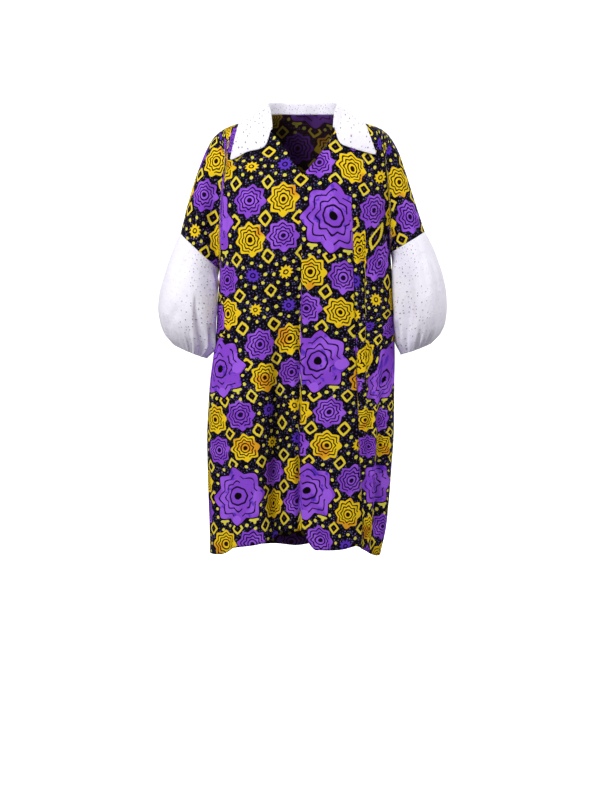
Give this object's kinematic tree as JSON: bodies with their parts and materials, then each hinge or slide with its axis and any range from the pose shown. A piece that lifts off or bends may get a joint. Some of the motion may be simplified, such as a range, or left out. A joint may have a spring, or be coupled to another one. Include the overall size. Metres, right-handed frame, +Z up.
{
  "type": "bubu dress",
  "caption": "Knee-length bubu dress in printed cotton with white eyelet balloon sleeves and collar, hanging hollow as worn",
  "frame": {"origin": "the middle of the shoulder line, level with the points where the shoulder seams meet the neckline, where the dress is held when worn", "axes": "+Z up along the length of the dress, the dress faces -Y, +X to the right of someone who looks at its front"},
  "size_m": [0.6785, 0.2532, 1.0657],
  "materials": {
    "print_cotton": "plain-woven cotton with a near-black ground and purple and yellow print, slight wax sheen",
    "eyelet_cotton": "white eyelet cotton, matte"
  },
  "bodies": {
    "root": {"front": "print_cotton", "back": "print_cotton", "sleeve_left": "eyelet_cotton", "sleeve_right": "eyelet_cotton", "collar": "eyelet_cotton"}
  },
  "joints": []
}
